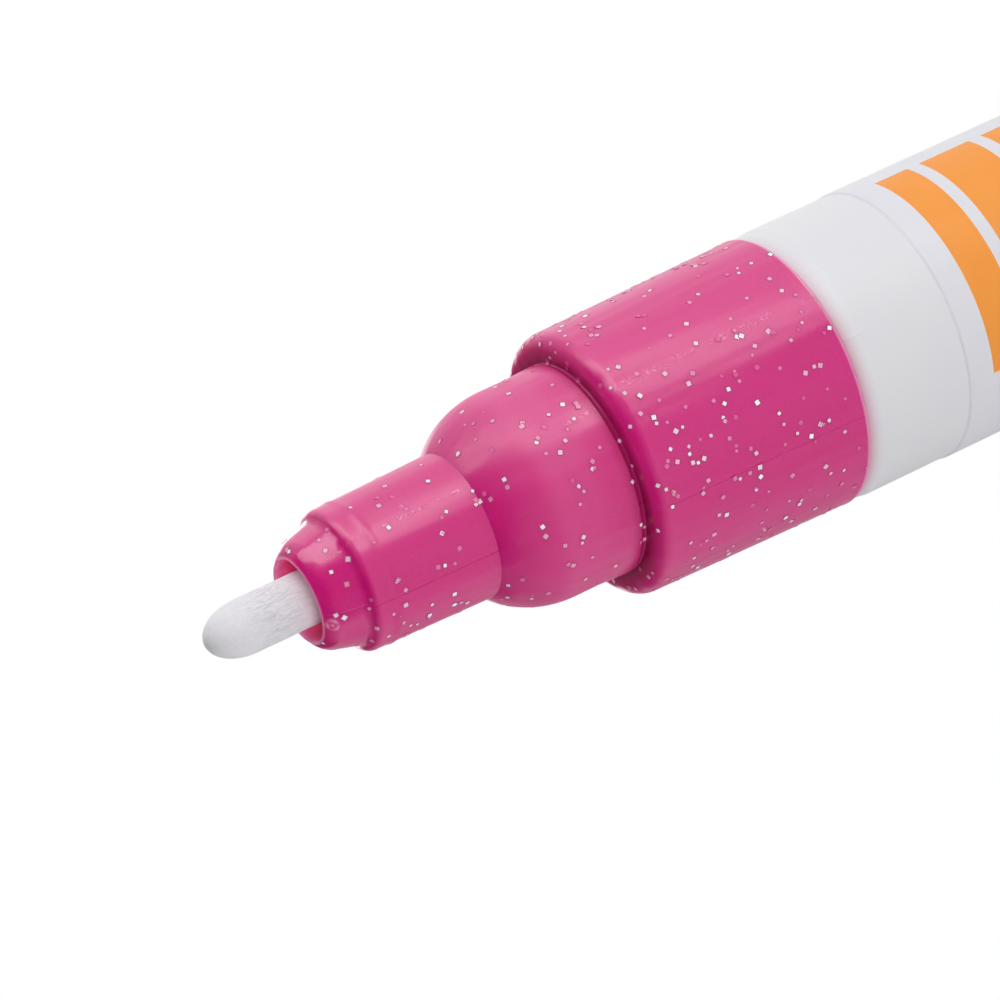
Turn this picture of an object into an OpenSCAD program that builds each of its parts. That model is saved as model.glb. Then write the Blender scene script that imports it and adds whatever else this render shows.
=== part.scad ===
// Fabric paint marker with a press-tip valve, standing on its tail, axis along Z, in millimetres

/* [Barrel] */
// Outside diameter of the barrel
barrel_d = 15.5; // [14.5:0.1:18]
// Length of the barrel tube
barrel_length = 102; // [85:0.5:130]
// Wall of the barrel
barrel_wall = 1.1; // [0.9:0.05:1.3]
// Length of the eased front edge
barrel_ease_length = 1.3; // [0.6:0.1:3]
// Depth of the eased front edge
barrel_ease_depth = 0.13; // [0.05:0.01:0.3]

/* [Tail plug] */
// Thickness of the flange that closes the tail
tail_flange = 1.6; // [1.2:0.1:3]
// Rounding of the flange's edge
tail_round = 0.5; // [0.2:0.1:0.8]
// Depth of the skirt inside the barrel
tail_skirt = 6; // [4:0.5:10]
// Wall of the skirt
tail_wall = 1.1; // [0.8:0.1:1.6]

/* [Label] */
// Thickness of the label film
label_film = 0.07; // [0.05:0.01:0.15]
// Bare barrel in front of the label
label_front_margin = 6.55; // [4:0.05:15]
// Bare barrel behind the label
label_tail_margin = 4; // [2:0.5:15]
// Width of the open seam between the label's two ends
label_seam = 0.6; // [0.3:0.1:2]

/* [Front section] */
// How far the collar's rear edge stands in from the barrel
collar_inset = 0.02; // [0:0.01:0.2]
// How much the collar narrows towards its front edge, on the radius
collar_taper = 0.25; // [0:0.01:0.5]
// Length of the collar
collar_length = 13.14; // [9:0.02:20]
// Rounding of the collar's front edge
collar_round = 1.15; // [0.4:0.05:1.4]
// Diameter of the cap seat
seat_d = 11.88; // [11.6:0.02:12.4]
// Length from the collar's face to the neck
seat_length = 7.86; // [7.2:0.02:11]
// Radius of the dome between cap seat and neck
dome_radius = 5.9; // [5.4:0.1:6.4]
// Height of the snap edge that holds a cap
snap_height = 0.09; // [0.06:0.01:0.15]
// Length of the ramp that rises to the snap edge
snap_ramp = 1.65; // [1:0.05:2]
// Gap between the snap edge and the collar's face
snap_gap = 0.3; // [0.2:0.05:0.6]
// Neck diameter at the dome
neck_rear_d = 8.24; // [7.9:0.02:8.8]
// Neck diameter at its front edge
neck_front_d = 7.94; // [7.6:0.02:8.5]
// Length of the neck
neck_length = 7.66; // [6:0.02:12]
// How far the neck's front face slopes back
neck_slope = 0.28; // [0:0.02:0.5]
// Rounding of the neck's front edge
neck_round = 0.8; // [0.3:0.1:1]
// Lip diameter at the neck
lip_rear_d = 6.98; // [6.6:0.02:7.3]
// Lip diameter at the mouth, before rounding
lip_front_d = 5.66; // [5.2:0.02:6]
// Length of the lip, before rounding
lip_length = 2.38; // [1.8:0.02:3]
// Rounding of the lip
lip_round = 1.4; // [0.6:0.05:1.5]
// Diameter of the mouth round the nib
mouth_d = 4.64; // [4.4:0.02:4.8]
// Diameter of the paint chamber
chamber_d = 8.4; // [7.6:0.1:9]
// Length of the plug inside the barrel
plug_length = 9; // [6:0.5:12]
// Number of fins that guide the nib
fin_count = 6; // [3:1:8]
// Thickness of a guide fin
fin_width = 0.7; // [0.4:0.05:0.9]
// Depth of the fins behind the mouth
fin_depth = 3; // [2:0.5:5]
// How far the fins run on behind the neck
fin_run = 8; // [4:0.5:10]

/* [Nib] */
// Diameter of the nib
nib_d = 3; // [2.4:0.05:3.2]
// Length that stands out of the mouth
nib_reach = 5.46; // [4:0.02:8]
// Length of the rounded tip
nib_tip_length = 2.4; // [1.5:0.1:4]
// Fullness of the rounded tip, 2 is half an ellipse
nib_fullness = 2; // [1.6:0.1:4]

/* [Valve] */
// How far the nib and stem can be pushed in
press_travel = 2; // [1:0.1:2.5]
// Room between the nib and the valve seat when the nib is pushed in
nib_room = 0.5; // [0.3:0.1:1]
// Thickness of the valve seat
seat_ring = 1.5; // [1:0.1:2.5]
// Hole in the valve seat
seat_hole_d = 3.2; // [2.9:0.1:3.6]
// Diameter of the pocket that holds seat and casing
pocket_d = 9.8; // [9.4:0.1:10.2]
// Depth of the pocket in front of the plug's end
pocket_depth = 13; // [11:0.5:15]
// Length of the valve casing
casing_length = 17; // [15.5:0.5:20]
// Wall of the valve casing
casing_wall = 0.8; // [0.6:0.05:1]
// Number of windows in the casing
window_count = 4; // [3:1:5]
// Width of a window
window_width = 2.6; // [1.5:0.1:3]
// Diameter of the stem's front pin
stem_pin_d = 2.2; // [1.6:0.1:2.6]
// Diameter of the stem's head
stem_head_d = 5.4; // [4.8:0.1:6]
// Thickness of the stem's head
stem_head = 1.6; // [1:0.1:2.2]
// Diameter of the stem's tail pin
stem_tail_d = 1.6; // [1.2:0.1:1.8]
// Mean diameter of the spring
spring_d = 3.6; // [3.2:0.1:4.2]
// Diameter of the spring wire
spring_wire = 0.4; // [0.3:0.02:0.5]
// Number of turns in the spring
spring_turns = 8; // [6:1:10]

/* [Mixing ball] */
// Diameter of the mixing ball
ball_d = 6; // [4:0.5:8]

/* [Fits] */
// Clearance round a pin that slides
slide_clearance = 0.06; // [0.03:0.01:0.1]
// Clearance round a plug that is pressed in
plug_clearance = 0.1; // [0.05:0.01:0.2]
// Squeeze of a sealing bead in its bore
bead_squeeze = 0.03; // [0.01:0.01:0.05]
// Small gap at the ends of a loose or sprung piece
rest_gap = 0.05; // [0.02:0.01:0.1]

/* [Hidden] */

$fn = 96;
arc_steps = 6;
edge_round = 0.2;
bead_r = 0.5;
step_round = 0.25;
over = 1;

// Radii of what fits together
barrel_r = barrel_d / 2;
bore_r = barrel_r - barrel_wall;
label_r = barrel_r + label_film;
collar_rear_r = barrel_r - collar_inset;
collar_front_r = collar_rear_r - collar_taper;
seat_r = seat_d / 2;
mouth_r = mouth_d / 2;
chamber_r = chamber_d / 2;
nib_r = nib_d / 2;
plug_r = bore_r - plug_clearance;
pocket_r = pocket_d / 2;
casing_r = pocket_r - plug_clearance;
casing_bore_r = casing_r - casing_wall;

// Stations along the axis, from the tail up
barrel_front_z = tail_flange + barrel_length;
collar_face_z = barrel_front_z + collar_length;
neck_base_z = collar_face_z + seat_length;
lip_base_z = neck_base_z + neck_length;
mouth_z = lip_base_z + lip_length;
nib_tip_z = mouth_z + nib_reach;
label_low_z = tail_flange + label_tail_margin;
label_high_z = barrel_front_z - label_front_margin;
plug_end_z = barrel_front_z - plug_length;
shoulder_z = plug_end_z + pocket_depth;
chamber_top_z = neck_base_z - (chamber_r - mouth_r);
snap_z = collar_face_z + snap_gap;
nib_end_z = shoulder_z + press_travel + nib_room;
seat_rear_z = shoulder_z - seat_ring;
casing_end_z = seat_rear_z - casing_length;
casing_floor_z = casing_end_z + casing_wall;
head_low_z = seat_rear_z - stem_head;

// The dome is an arc that runs out level with the cap seat
dome_centre_r = seat_r - dome_radius;
dome_angle = acos((neck_rear_d / 2 - dome_centre_r) / dome_radius);
dome_z = neck_base_z - dome_radius * sin(dome_angle);

function unit(v) = v / norm(v);

// Arc that rounds the corner b between a and c, cut back where a side is too short for it
function corner(a, b, c, radius) =
    let(
        p = unit(a - b),
        q = unit(c - b),
        half = acos(p * q) / 2,
        room = 0.49 * min(norm(a - b), norm(c - b)),
        reach = min(radius / tan(half), room),
        r = reach * tan(half),
        centre = b + unit(p + q) * r / sin(half),
        from = b + p * reach - centre,
        to = b + q * reach - centre,
        start = atan2(from[1], from[0]),
        turn = atan2(to[1], to[0]) - start,
        sweep = turn > 180 ? turn - 360 : turn < -180 ? turn + 360 : turn
    )
    [
        for (i = [0:arc_steps])
            let(angle = start + sweep * i / arc_steps)
            centre + r * [cos(angle), sin(angle)]
    ];

// Closed outline whose points are [radius, height, rounding]
function rounded(points) =
    let(n = len(points))
    [
        for (i = [0:n - 1])
            let(
                a = points[(i + n - 1) % n],
                b = points[i],
                c = points[(i + 1) % n]
            )
            each b[2] > 0
                ? corner([a[0], a[1]], [b[0], b[1]], [c[0], c[1]], b[2])
                : [[b[0], b[1]]]
    ];

module revolve(points) {
    rotate_extrude() polygon(rounded(points));
}

// Ring that bulges out of a wall to the given radius
module bead(radius, z) {
    translate([0, 0, z])
    rotate_extrude()
    translate([radius - bead_r, 0])
        circle(r = bead_r);
}

module barrel() {
    color("whitesmoke")
    revolve([
        [bore_r, tail_flange, edge_round],
        [barrel_r, tail_flange, edge_round],
        [barrel_r, barrel_front_z - barrel_ease_length, 0],
        [barrel_r - barrel_ease_depth, barrel_front_z, edge_round],
        [bore_r, barrel_front_z, edge_round]
    ]);
}

module tail_plug() {
    skirt_top_z = tail_flange + tail_skirt;
    color("mediumvioletred")
    union() {
        revolve([
            [0, 0, 0],
            [barrel_r, 0, tail_round],
            [barrel_r, tail_flange, 0],
            [plug_r, tail_flange, 0],
            [plug_r, skirt_top_z, edge_round],
            [plug_r - tail_wall, skirt_top_z, edge_round],
            [plug_r - tail_wall, tail_flange, edge_round],
            [0, tail_flange, 0]
        ]);
        bead(bore_r + bead_squeeze, tail_flange + tail_skirt / 2);
    }
}

module label() {
    height = label_high_z - label_low_z;
    color("orange")
    translate([0, 0, label_low_z])
    difference() {
        cylinder(r = label_r, h = height);
        translate([0, 0, -over]) cylinder(r = barrel_r, h = height + 2 * over);
        translate([-label_seam / 2, 0, -over]) cube([label_seam, barrel_d, height + 2 * over]);
    }
}

// Outside of the moulding: lip, neck, dome, cap seat, collar and the plug that goes into the barrel
module front_section_outside() {
    dome_steps = 2 * arc_steps;
    dome = [
        for (i = [0:dome_steps])
            let(angle = dome_angle * (1 - i / dome_steps))
            [dome_centre_r + dome_radius * cos(angle), dome_z + dome_radius * sin(angle), 0]
    ];
    revolve(concat(
        [
            [0, mouth_z, 0],
            [lip_front_d / 2, mouth_z, lip_round],
            [lip_rear_d / 2, lip_base_z, step_round],
            [neck_front_d / 2, lip_base_z - neck_slope, neck_round]
        ],
        dome,
        [
            [seat_r, snap_z + snap_ramp, 0],
            [seat_r + snap_height, snap_z, 0],
            [seat_r, snap_z - snap_height, 0],
            [seat_r, collar_face_z, step_round],
            [collar_front_r, collar_face_z, collar_round],
            [collar_rear_r, barrel_front_z, edge_round],
            [plug_r, barrel_front_z, 0],
            [plug_r, plug_end_z, edge_round],
            [0, plug_end_z, 0]
        ]
    ));
    for (share = [1 / 3, 2 / 3]) bead(bore_r + bead_squeeze, barrel_front_z - share * plug_length);
}

// Inside of the moulding: mouth, chamber and the pocket for the valve
module front_section_inside() {
    revolve([
        [0, mouth_z + over, 0],
        [mouth_r, mouth_z + over, 0],
        [mouth_r, neck_base_z, 0],
        [chamber_r, chamber_top_z, 0],
        [chamber_r, shoulder_z, 0],
        [pocket_r, shoulder_z, 0],
        [pocket_r, plug_end_z - over, 0],
        [0, plug_end_z - over, 0]
    ]);
}

// Fins that stand in from the mouth and chamber walls and hold the nib on the axis
module guide_fins() {
    fin_r = nib_r + slide_clearance;
    fin_top_z = mouth_z - fin_depth;
    fin_low_z = neck_base_z - fin_run;
    for (i = [0:fin_count - 1])
        rotate(360 * i / fin_count)
        rotate([90, 0, 0])
        linear_extrude(fin_width, center = true)
            polygon([
                [fin_r, fin_low_z],
                [chamber_r + edge_round, fin_low_z],
                [chamber_r + edge_round, chamber_top_z],
                [mouth_r + edge_round, neck_base_z],
                [mouth_r + edge_round, fin_top_z],
                [fin_r, fin_top_z]
            ]);
}

module front_section() {
    color("mediumvioletred")
    union() {
        difference() {
            front_section_outside();
            front_section_inside();
        }
        guide_fins();
    }
}

module nib() {
    steps = 3 * arc_steps;
    tip = [
        for (i = [0:steps])
            let(t = pow(i / steps, 2))
            [nib_r * sqrt(1 - pow(1 - t, nib_fullness)), nib_tip_z - nib_tip_length * t, 0]
    ];
    color("white")
    revolve(concat(tip, [[nib_r, nib_end_z, edge_round], [0, nib_end_z, 0]]));
}

module valve_seat() {
    color("dimgray")
    revolve([
        [seat_hole_d / 2, seat_rear_z, 0],
        [casing_r, seat_rear_z, 0],
        [casing_r, shoulder_z, 0],
        [seat_hole_d / 2, shoulder_z, edge_round]
    ]);
}

// Cup behind the seat: the stem's tail slides in its floor, and paint comes in through its windows
module valve_casing() {
    window_low_z = casing_floor_z + casing_wall;
    window_high_z = plug_end_z - casing_wall;
    color("gainsboro")
    difference() {
        union() {
            revolve([
                [0, casing_end_z, 0],
                [casing_r, casing_end_z, edge_round],
                [casing_r, seat_rear_z, 0],
                [casing_bore_r, seat_rear_z, 0],
                [casing_bore_r, casing_floor_z, edge_round],
                [0, casing_floor_z, 0]
            ]);
            bead(pocket_r + bead_squeeze, (plug_end_z + seat_rear_z) / 2);
        }
        translate([0, 0, casing_end_z - over])
            cylinder(d = stem_tail_d + 2 * slide_clearance, h = casing_wall + 2 * over);
        for (i = [0:window_count - 1])
            rotate(360 * (i + 0.5) / window_count)
            translate([0, -window_width / 2, window_low_z])
                cube([pocket_d, window_width, window_high_z - window_low_z]);
    }
}

// Plunger: front pin under the nib, head that closes the seat, spring guide and tail pin
module valve_stem() {
    guide_r = (spring_d - spring_wire) / 2 - 2 * slide_clearance;
    guide_low_z = head_low_z - stem_head;
    color("white")
    revolve([
        [0, nib_end_z, 0],
        [stem_pin_d / 2, nib_end_z, edge_round],
        [stem_pin_d / 2, seat_rear_z, 0],
        [stem_head_d / 2, seat_rear_z, edge_round],
        [stem_head_d / 2, head_low_z, edge_round],
        [guide_r, head_low_z, 0],
        [guide_r, guide_low_z, edge_round],
        [stem_tail_d / 2, guide_low_z, 0],
        [stem_tail_d / 2, casing_end_z, edge_round],
        [0, casing_end_z, 0]
    ]);
}

// Spring: one wire swept along a helix between the casing's floor and the stem's head
wire_sides = 6;
rings_per_turn = 8;
ring_count = spring_turns * rings_per_turn;
wire_r = spring_wire / 2;
spring_low_z = casing_floor_z + rest_gap + wire_r;
spring_high_z = head_low_z - rest_gap - wire_r;
spring_pitch = (spring_high_z - spring_low_z) / spring_turns;
spring_lean = atan2(spring_pitch, PI * spring_d);

function spring_ring(i) =
    let(
        angle = 360 * i / rings_per_turn,
        out = [cos(angle), sin(angle), 0],
        rise = [sin(angle) * sin(spring_lean), -cos(angle) * sin(spring_lean), cos(spring_lean)],
        centre = out * spring_d / 2 + [0, 0, spring_low_z + spring_pitch * i / rings_per_turn]
    )
    [
        for (k = [0:wire_sides - 1])
            let(turn = 360 * k / wire_sides)
            centre + wire_r * (cos(turn) * out + sin(turn) * rise)
    ];

module valve_spring() {
    points = [for (i = [0:ring_count]) each spring_ring(i)];
    sides = [
        for (i = [0:ring_count - 1], k = [0:wire_sides - 1])
            let(
                a = i * wire_sides + k,
                b = i * wire_sides + (k + 1) % wire_sides
            )
            each [[a, b + wire_sides, b], [a, a + wire_sides, b + wire_sides]]
    ];
    last = ring_count * wire_sides;
    ends = [
        for (k = [1:wire_sides - 2])
            each [[0, k, k + 1], [last, last + k + 1, last + k]]
    ];
    color("silver") polyhedron(points, concat(sides, ends));
    least_gap = min([
        for (i = [0:rings_per_turn - 1], p = spring_ring(i), q = spring_ring(i + rings_per_turn))
            norm(p - q)
    ]);
    echo(least_gap_between_turns = least_gap);
}

module mixing_ball() {
    color("silver")
    translate([0, 0, tail_flange + rest_gap + ball_d / 2])
        sphere(d = ball_d);
}

barrel();
tail_plug();
label();
front_section();
nib();
valve_seat();
valve_casing();
valve_stem();
valve_spring();
mixing_ball();
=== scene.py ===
import math

import bpy
import numpy as np
from mathutils import Matrix, Vector


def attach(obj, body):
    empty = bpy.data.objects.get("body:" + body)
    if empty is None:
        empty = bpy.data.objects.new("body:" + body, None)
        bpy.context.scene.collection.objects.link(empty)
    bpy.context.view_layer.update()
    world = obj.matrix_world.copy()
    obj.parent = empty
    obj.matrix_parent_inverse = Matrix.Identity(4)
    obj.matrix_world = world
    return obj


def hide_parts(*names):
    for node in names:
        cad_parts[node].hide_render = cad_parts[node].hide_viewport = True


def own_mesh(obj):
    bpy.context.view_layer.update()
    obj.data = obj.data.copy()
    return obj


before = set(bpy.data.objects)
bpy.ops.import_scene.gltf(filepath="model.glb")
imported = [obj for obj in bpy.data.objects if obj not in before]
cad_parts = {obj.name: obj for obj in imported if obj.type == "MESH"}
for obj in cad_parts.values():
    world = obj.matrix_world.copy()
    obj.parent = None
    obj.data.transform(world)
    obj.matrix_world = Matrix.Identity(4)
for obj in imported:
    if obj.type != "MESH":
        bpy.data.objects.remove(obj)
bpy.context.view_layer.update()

scene = bpy.context.scene
scene.view_settings.view_transform = "Standard"

mm = 0.001
turn = 2 * math.pi
cameraSide = -turn / 4      # angle round the axis of the side that faces the camera, which looks along +Y
samePlace = 1e-5            # points closer than this in mm count as one
markReach = 2.4             # half width of the close columns on a fine mark, in widths of the mark
print("frame loaded:", len(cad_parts), "nodes")


# helpers for meshes

# Path of straight runs with rounded corners: each corner is (radius, height, rounding) in mm, and an arc
# of that rounding touches the two runs that meet there. All corners are worked out at once, and an arc
# takes up less than half of each run
def roundedPath(corners, arcSteps=10, mostOfRun=0.49, nearOne=0.999999, noLength=1e-9):
    corners = np.array(corners, float)
    point, rounding = corners[:, :2], corners[:, 2]
    toLast = np.roll(point, 1, axis=0) - point
    toNext = np.roll(point, -1, axis=0) - point
    lastLength = np.linalg.norm(toLast, axis=1)
    nextLength = np.linalg.norm(toNext, axis=1)
    toLast /= lastLength[:, None]
    toNext /= nextLength[:, None]
    half = np.arccos(np.clip((toLast * toNext).sum(1), -nearOne, nearOne)) / 2
    reach = np.minimum(rounding / np.tan(half), mostOfRun * np.minimum(lastLength, nextLength))
    middle = toLast + toNext
    middle /= np.maximum(np.linalg.norm(middle, axis=1), noLength)[:, None]
    centre = point + middle * (reach / np.cos(half))[:, None]
    start = point + toLast * reach[:, None] - centre
    end = point + toNext * reach[:, None] - centre
    startAngle = np.arctan2(start[:, 1], start[:, 0])
    sweep = np.arctan2(end[:, 1], end[:, 0]) - startAngle
    sweep = (sweep + math.pi) % turn - math.pi
    angle = startAngle[:, None] + sweep[:, None] * np.linspace(0, 1, arcSteps + 1)
    size = np.linalg.norm(start, axis=1)[:, None, None]
    arcs = centre[:, None] + size * np.stack([np.cos(angle), np.sin(angle)], axis=-1)
    path = arcs.reshape(-1, 2)
    moved = np.linalg.norm(path - np.roll(path, 1, axis=0), axis=1) > samePlace
    return path[moved]


# Long runs are cut into steps, with one more point just inside each end, so that smooth shading keeps
# them straight. Runs shorter than a few of those end steps stay whole
def cutRuns(path, longest=0.8, nearEnd=0.05, shortest=6):
    pieces = []
    for a, b in zip(path, np.roll(path, -1, axis=0)):
        length = np.linalg.norm(b - a)
        share = np.linspace(0, 1, max(1, math.ceil(length / longest)), endpoint=False)
        if length > shortest * nearEnd:
            share = np.unique(np.append(share, [nearEnd / length, 1 - nearEnd / length]))
        pieces.append(a + share[:, None] * (b - a))
    return np.concatenate(pieces)


# Circle arc in the profile plane, from one angle to another
def arc(radius, height, size, start, end, steps):
    angle = np.radians(np.linspace(start, end, steps + 1))
    return np.stack([radius + size * np.cos(angle), height + size * np.sin(angle), 0 * angle], axis=-1)


# Angles round the axis: even ones, and close ones to both sides of each fine mark, given by its angle
# and half width
def anglesRound(count, marks=(), perMark=13, digits=7):
    even = np.linspace(0, turn, count, endpoint=False)
    close = [line + np.linspace(-1, 1, perMark) * width for line, width in marks]
    return np.unique(np.round(np.concatenate([even, *close]) % turn, digits))


# Distance round the axis from an angle, as an angle between minus and plus half a turn
def angleFrom(angles, line):
    return (angles - line + math.pi) % turn - math.pi


# New mesh object at the origin, from points in mm. Faces that meet at more than sharpFrom degrees keep
# their edge
def newPiece(name, points, faces, material, smooth=True, sharpFrom=38):
    mesh = bpy.data.meshes.new(name)
    mesh.from_pydata((points * mm).tolist(), [], faces)
    mesh.polygons.foreach_set("use_smooth", [smooth] * len(mesh.polygons))
    if smooth:
        mesh.set_sharp_from_angle(angle=math.radians(sharpFrom))
    mesh.materials.append(material)
    piece = bpy.data.objects.new(name, mesh)
    scene.collection.objects.link(piece)
    return piece


# Surface of turn: x = r cos a, y = r sin a, for each path point (r, z) and each angle a, with a relief
# added to r. A ring path joins its last point to its first, and any other path starts and ends on the
# axis, in two poles
def turned(name, path, angles, material, ring=True, relief=0.0):
    radius = path[:, :1] + relief + 0 * angles
    height = path[:, 1:] + 0 * radius
    points = np.stack([radius * np.cos(angles), radius * np.sin(angles), height], axis=-1)
    rows, columns = radius.shape
    number = np.arange(rows * columns).reshape(rows, columns)
    beside = np.roll(number, -1, axis=1)
    if ring:
        below = np.roll(number, -1, axis=0)
        quads = np.stack([number, below, np.roll(below, -1, axis=1), beside], axis=-1).reshape(-1, 4)
        return newPiece(name, points.reshape(-1, 3), quads.tolist(), material)
    quads = np.stack([number[1:-2], number[2:-1], beside[2:-1], beside[1:-2]], axis=-1).reshape(-1, 4)
    first = np.stack([0 * number[1], number[1], beside[1]], axis=-1)
    last = np.stack([0 * number[-2] + number[-1, 0], beside[-2], number[-2]], axis=-1)
    used = np.unique(np.concatenate([quads.ravel(), first.ravel(), last.ravel()]))
    place = np.zeros(rows * columns, int)
    place[used] = np.arange(len(used))
    faces = [place[part].tolist() for part in (quads, first, last)]
    return newPiece(name, points.reshape(-1, 3)[used], faces[0] + faces[1] + faces[2], material)


# Value noise on a grid that closes round the axis: random values at the cell corners, eased between them
def easedNoise(random, along, angles, cellsAlong, cellsRound):
    values = random.uniform(-1, 1, (cellsAlong + 2, cellsRound))
    y = np.clip(along, 0, 1)[:, None] * cellsAlong
    x = (angles / turn % 1)[None, :] * cellsRound
    row, column = np.floor(y).astype(int), np.floor(x).astype(int)
    fy, fx = y - row, x - column
    fy, fx = fy * fy * (3 - 2 * fy), fx * fx * (3 - 2 * fx)
    corner = lambda i, j: values[row + i, (column + j) % cellsRound]
    low = corner(0, 0) * (1 - fx) + corner(0, 1) * fx
    high = corner(1, 0) * (1 - fx) + corner(1, 1) * fx
    return low * (1 - fy) + high * fy


# helpers for materials

# sRGB hex value to linear colour
def linear(hexValue):
    srgb = np.array([int(hexValue[i:i + 2], 16) for i in (1, 3, 5)]) / 255
    value = np.where(srgb <= 0.04045, srgb / 12.92, ((srgb + 0.055) / 1.055) ** 2.4)
    return (*value.tolist(), 1.0)


# Inputs of a node: a plain value is set, and a socket or the result of another node is linked
def setInputs(tree, node, inputs):
    for key, value in inputs.items():
        if isinstance(value, bpy.types.Node):
            value = next(output for output in value.outputs if output.enabled)
        if isinstance(value, bpy.types.NodeSocket):
            tree.links.new(value, node.inputs[key])
        else:
            node.inputs[key].default_value = value


# One shader node with its settings and its inputs
def addNode(tree, kind, inputs, **settings):
    node = tree.nodes.new("ShaderNode" + kind)
    for key, value in settings.items():
        setattr(node, key, value)
    setInputs(tree, node, inputs)
    return node


# Noise with a pattern of this size in mm, on coordinates in metres
def noise(tree, place, size, detail, distortion=0.0):
    return addNode(tree, "TexNoise", {"Vector": place, "Scale": 1 / (size * mm), "Detail": detail,
                                      "Distortion": distortion})


# Mix of two colours, each a hex value or the result of another node
def mixTones(tree, factor, *tones):
    low, high = [linear(tone) if isinstance(tone, str) else tone for tone in tones]
    return addNode(tree, "Mix", {"Factor": factor, 6: low, 7: high}, data_type="RGBA")


def calc(tree, operation, *values):
    return addNode(tree, "Math", dict(enumerate(values)), operation=operation)


# Map of a span of values, in a unit, to the range from 0 to 1 or to another one, straight or eased
def remap(tree, value, span=(0.0, 1.0), unit=1, to=(0.0, 1.0), eased=False):
    return addNode(tree, "MapRange", {
        "Value": value, "From Min": span[0] * unit, "From Max": span[1] * unit,
        "To Min": to[0], "To Max": to[1],
    }, interpolation_type="SMOOTHSTEP" if eased else "LINEAR")


# Bump of a strength and a depth in mm, on top of another bump where that is given as the Normal
def bumped(tree, height, bump, **below):
    strength, depth = bump
    return addNode(tree, "Bump", {"Height": height, "Strength": strength, "Distance": depth * mm,
                                  **below})


def newMaterial(name):
    material = bpy.data.materials.new(name)
    material.use_nodes = True
    tree = material.node_tree
    tree.nodes.clear()
    shader = addNode(tree, "BsdfPrincipled", {})
    addNode(tree, "OutputMaterial", {"Surface": shader})
    place = addNode(tree, "TexCoord", {}).outputs["Object"]
    return material, tree, shader, place


# camera at the photograph's angle: above and in front, rolled so that the nib points to the lower left

cameraPlace = dict(
    targetHeight=121.8, distance=300, elevation=23.15, roll=115.07, aside=0.318, lens=205.8, sensor=36,
    nearest=10,
)


def makeCamera(c):
    rise, roll = math.radians(c["elevation"]), math.radians(c["roll"])
    back = Vector((0, -math.cos(rise), math.sin(rise)))
    side, over = Vector((1, 0, 0)), Vector((0, math.sin(rise), math.cos(rise)))
    right = side * math.cos(roll) - over * math.sin(roll)
    up = over * math.cos(roll) + side * math.sin(roll)
    place = (Vector((c["aside"], 0, c["targetHeight"])) + back * c["distance"]) * mm
    camera = bpy.data.objects.new("camera", bpy.data.cameras.new("camera"))
    scene.collection.objects.link(camera)
    axes = Matrix((right, up, back)).transposed()
    camera.matrix_world = Matrix.Translation(place) @ axes.to_4x4()
    camera.data.lens = c["lens"]
    camera.data.sensor_width = c["sensor"]
    camera.data.clip_start = c["nearest"] * mm
    scene.camera = camera


makeCamera(cameraPlace)
print("camera placed")


# nose moulding: lip, neck, dome, cap seat with snap edge, collar, and the plug inside the barrel

nose = dict(
    # outside, from the mouth to the collar: corners are (radius, height) in mm
    mouth=2.32, mouthBevel=0.09, lipFront=(2.83, 134.64), lipRound=1.4, lipRear=(3.49, 132.26),
    lipStepRound=0.6, neckFront=(3.97, 131.98), neckRear=(4.12, 124.6), neckRound=0.8, dome=5.9,
    seat=5.94, snap=(6.03, 117.04), snapRamp=1.65, snapRound=0.03, stepRound=0.25,
    collarFront=(7.48, 116.74), collarRear=(7.73, 103.6), collarRound=1.15, flash=(0.06, 0.025),
    # plug in the barrel, and the bores
    plug=6.55, plugEnd=94.6, plugBead=(0.5, 0.13, 0.3), edgeRound=0.2,
    pocket=4.9, shoulder=107.6, chamber=4.2, chamberTop=122.72,
    lipSteps=40, domeSteps=28, columns=160, perMark=21,
    # marks of the mould: angles in degrees from the camera's side, then widths and heights in mm
    ring=(130.8, 0.22, 0.05), ringRows=11,
    partingAngles=(-29.5, 150.5), parting=(0.05, 0.035), domeParting=0.2,
    gateAngle=-40.75, gateHeight=134.16, gate=(0.28, 0.1, 0.08), gateRagged=(0.65, 0.35, 3, 1),
    # heights where the painted glow on the mouth's rim and the painted highlight on the collar's rear
    # edge start and are full
    rimGlowLevels=(134.4, 134.47), rearHighlightLevels=(103.76, 103.64),
    # colour, with painted shade in the corners and a pale pink that is partly painted glow and highlight
    pink="#D01279", palePink="#D82884", paintedShadePink="#98124F", paleMarkAndSheenPink="#FFAACF", paleShare=0.75,
    flowSize=1.6, flowDraw=0.12, pigment=0.15, pigmentShare=1.0,
    paintedShadeReach=1.2, paintedShadeRange=(0.45, 0.95),
    glow=0.35, glowTint=(1.0, 0.12, 0.35), glowDepth=1.2,
    # gloss and wear: bumps are (strength, depth in mm), bands are heights where they start, are full,
    # ease off and end
    # the gloss is turned down in the corners, painted shade in the reflection
    gloss=1.8, finish=(0.29, 0.345), shadedGloss=(0.1, 0.5), flowBump=(0.6, 0.3),
    lipPolish=0.17, polishBlend=0.1,
    rubbed=(117.9, 119.6, 120.9, 122.2), hazeShare=0.09,
    dulled=(117.9, 119.6, 122.6, 124.4), dullShare=0.12,
    # the wrinkled streak lies at the angle of the key softbox's highlight, and its pale colour is a
    # painted highlight
    wrinkleAngle=24, wrinkleWidth=2.5, wrinkleSize=0.4, crease=0.07, wrinkleBump=(0.6, 0.04),
    patchSize=4, patchRange=(0.34, 0.44), bareDome=(119.5, 124.7),
    # bore of the mouth: a paler colour that is a painted glow, over real light through the thin lip
    mouthGlowTone="#FFA0B8", mouthCloud=0.8, mouthFinish=0.5, mouthTint=(1.0, 0.45, 0.55), mouthDepth=4.0,
)
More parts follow.
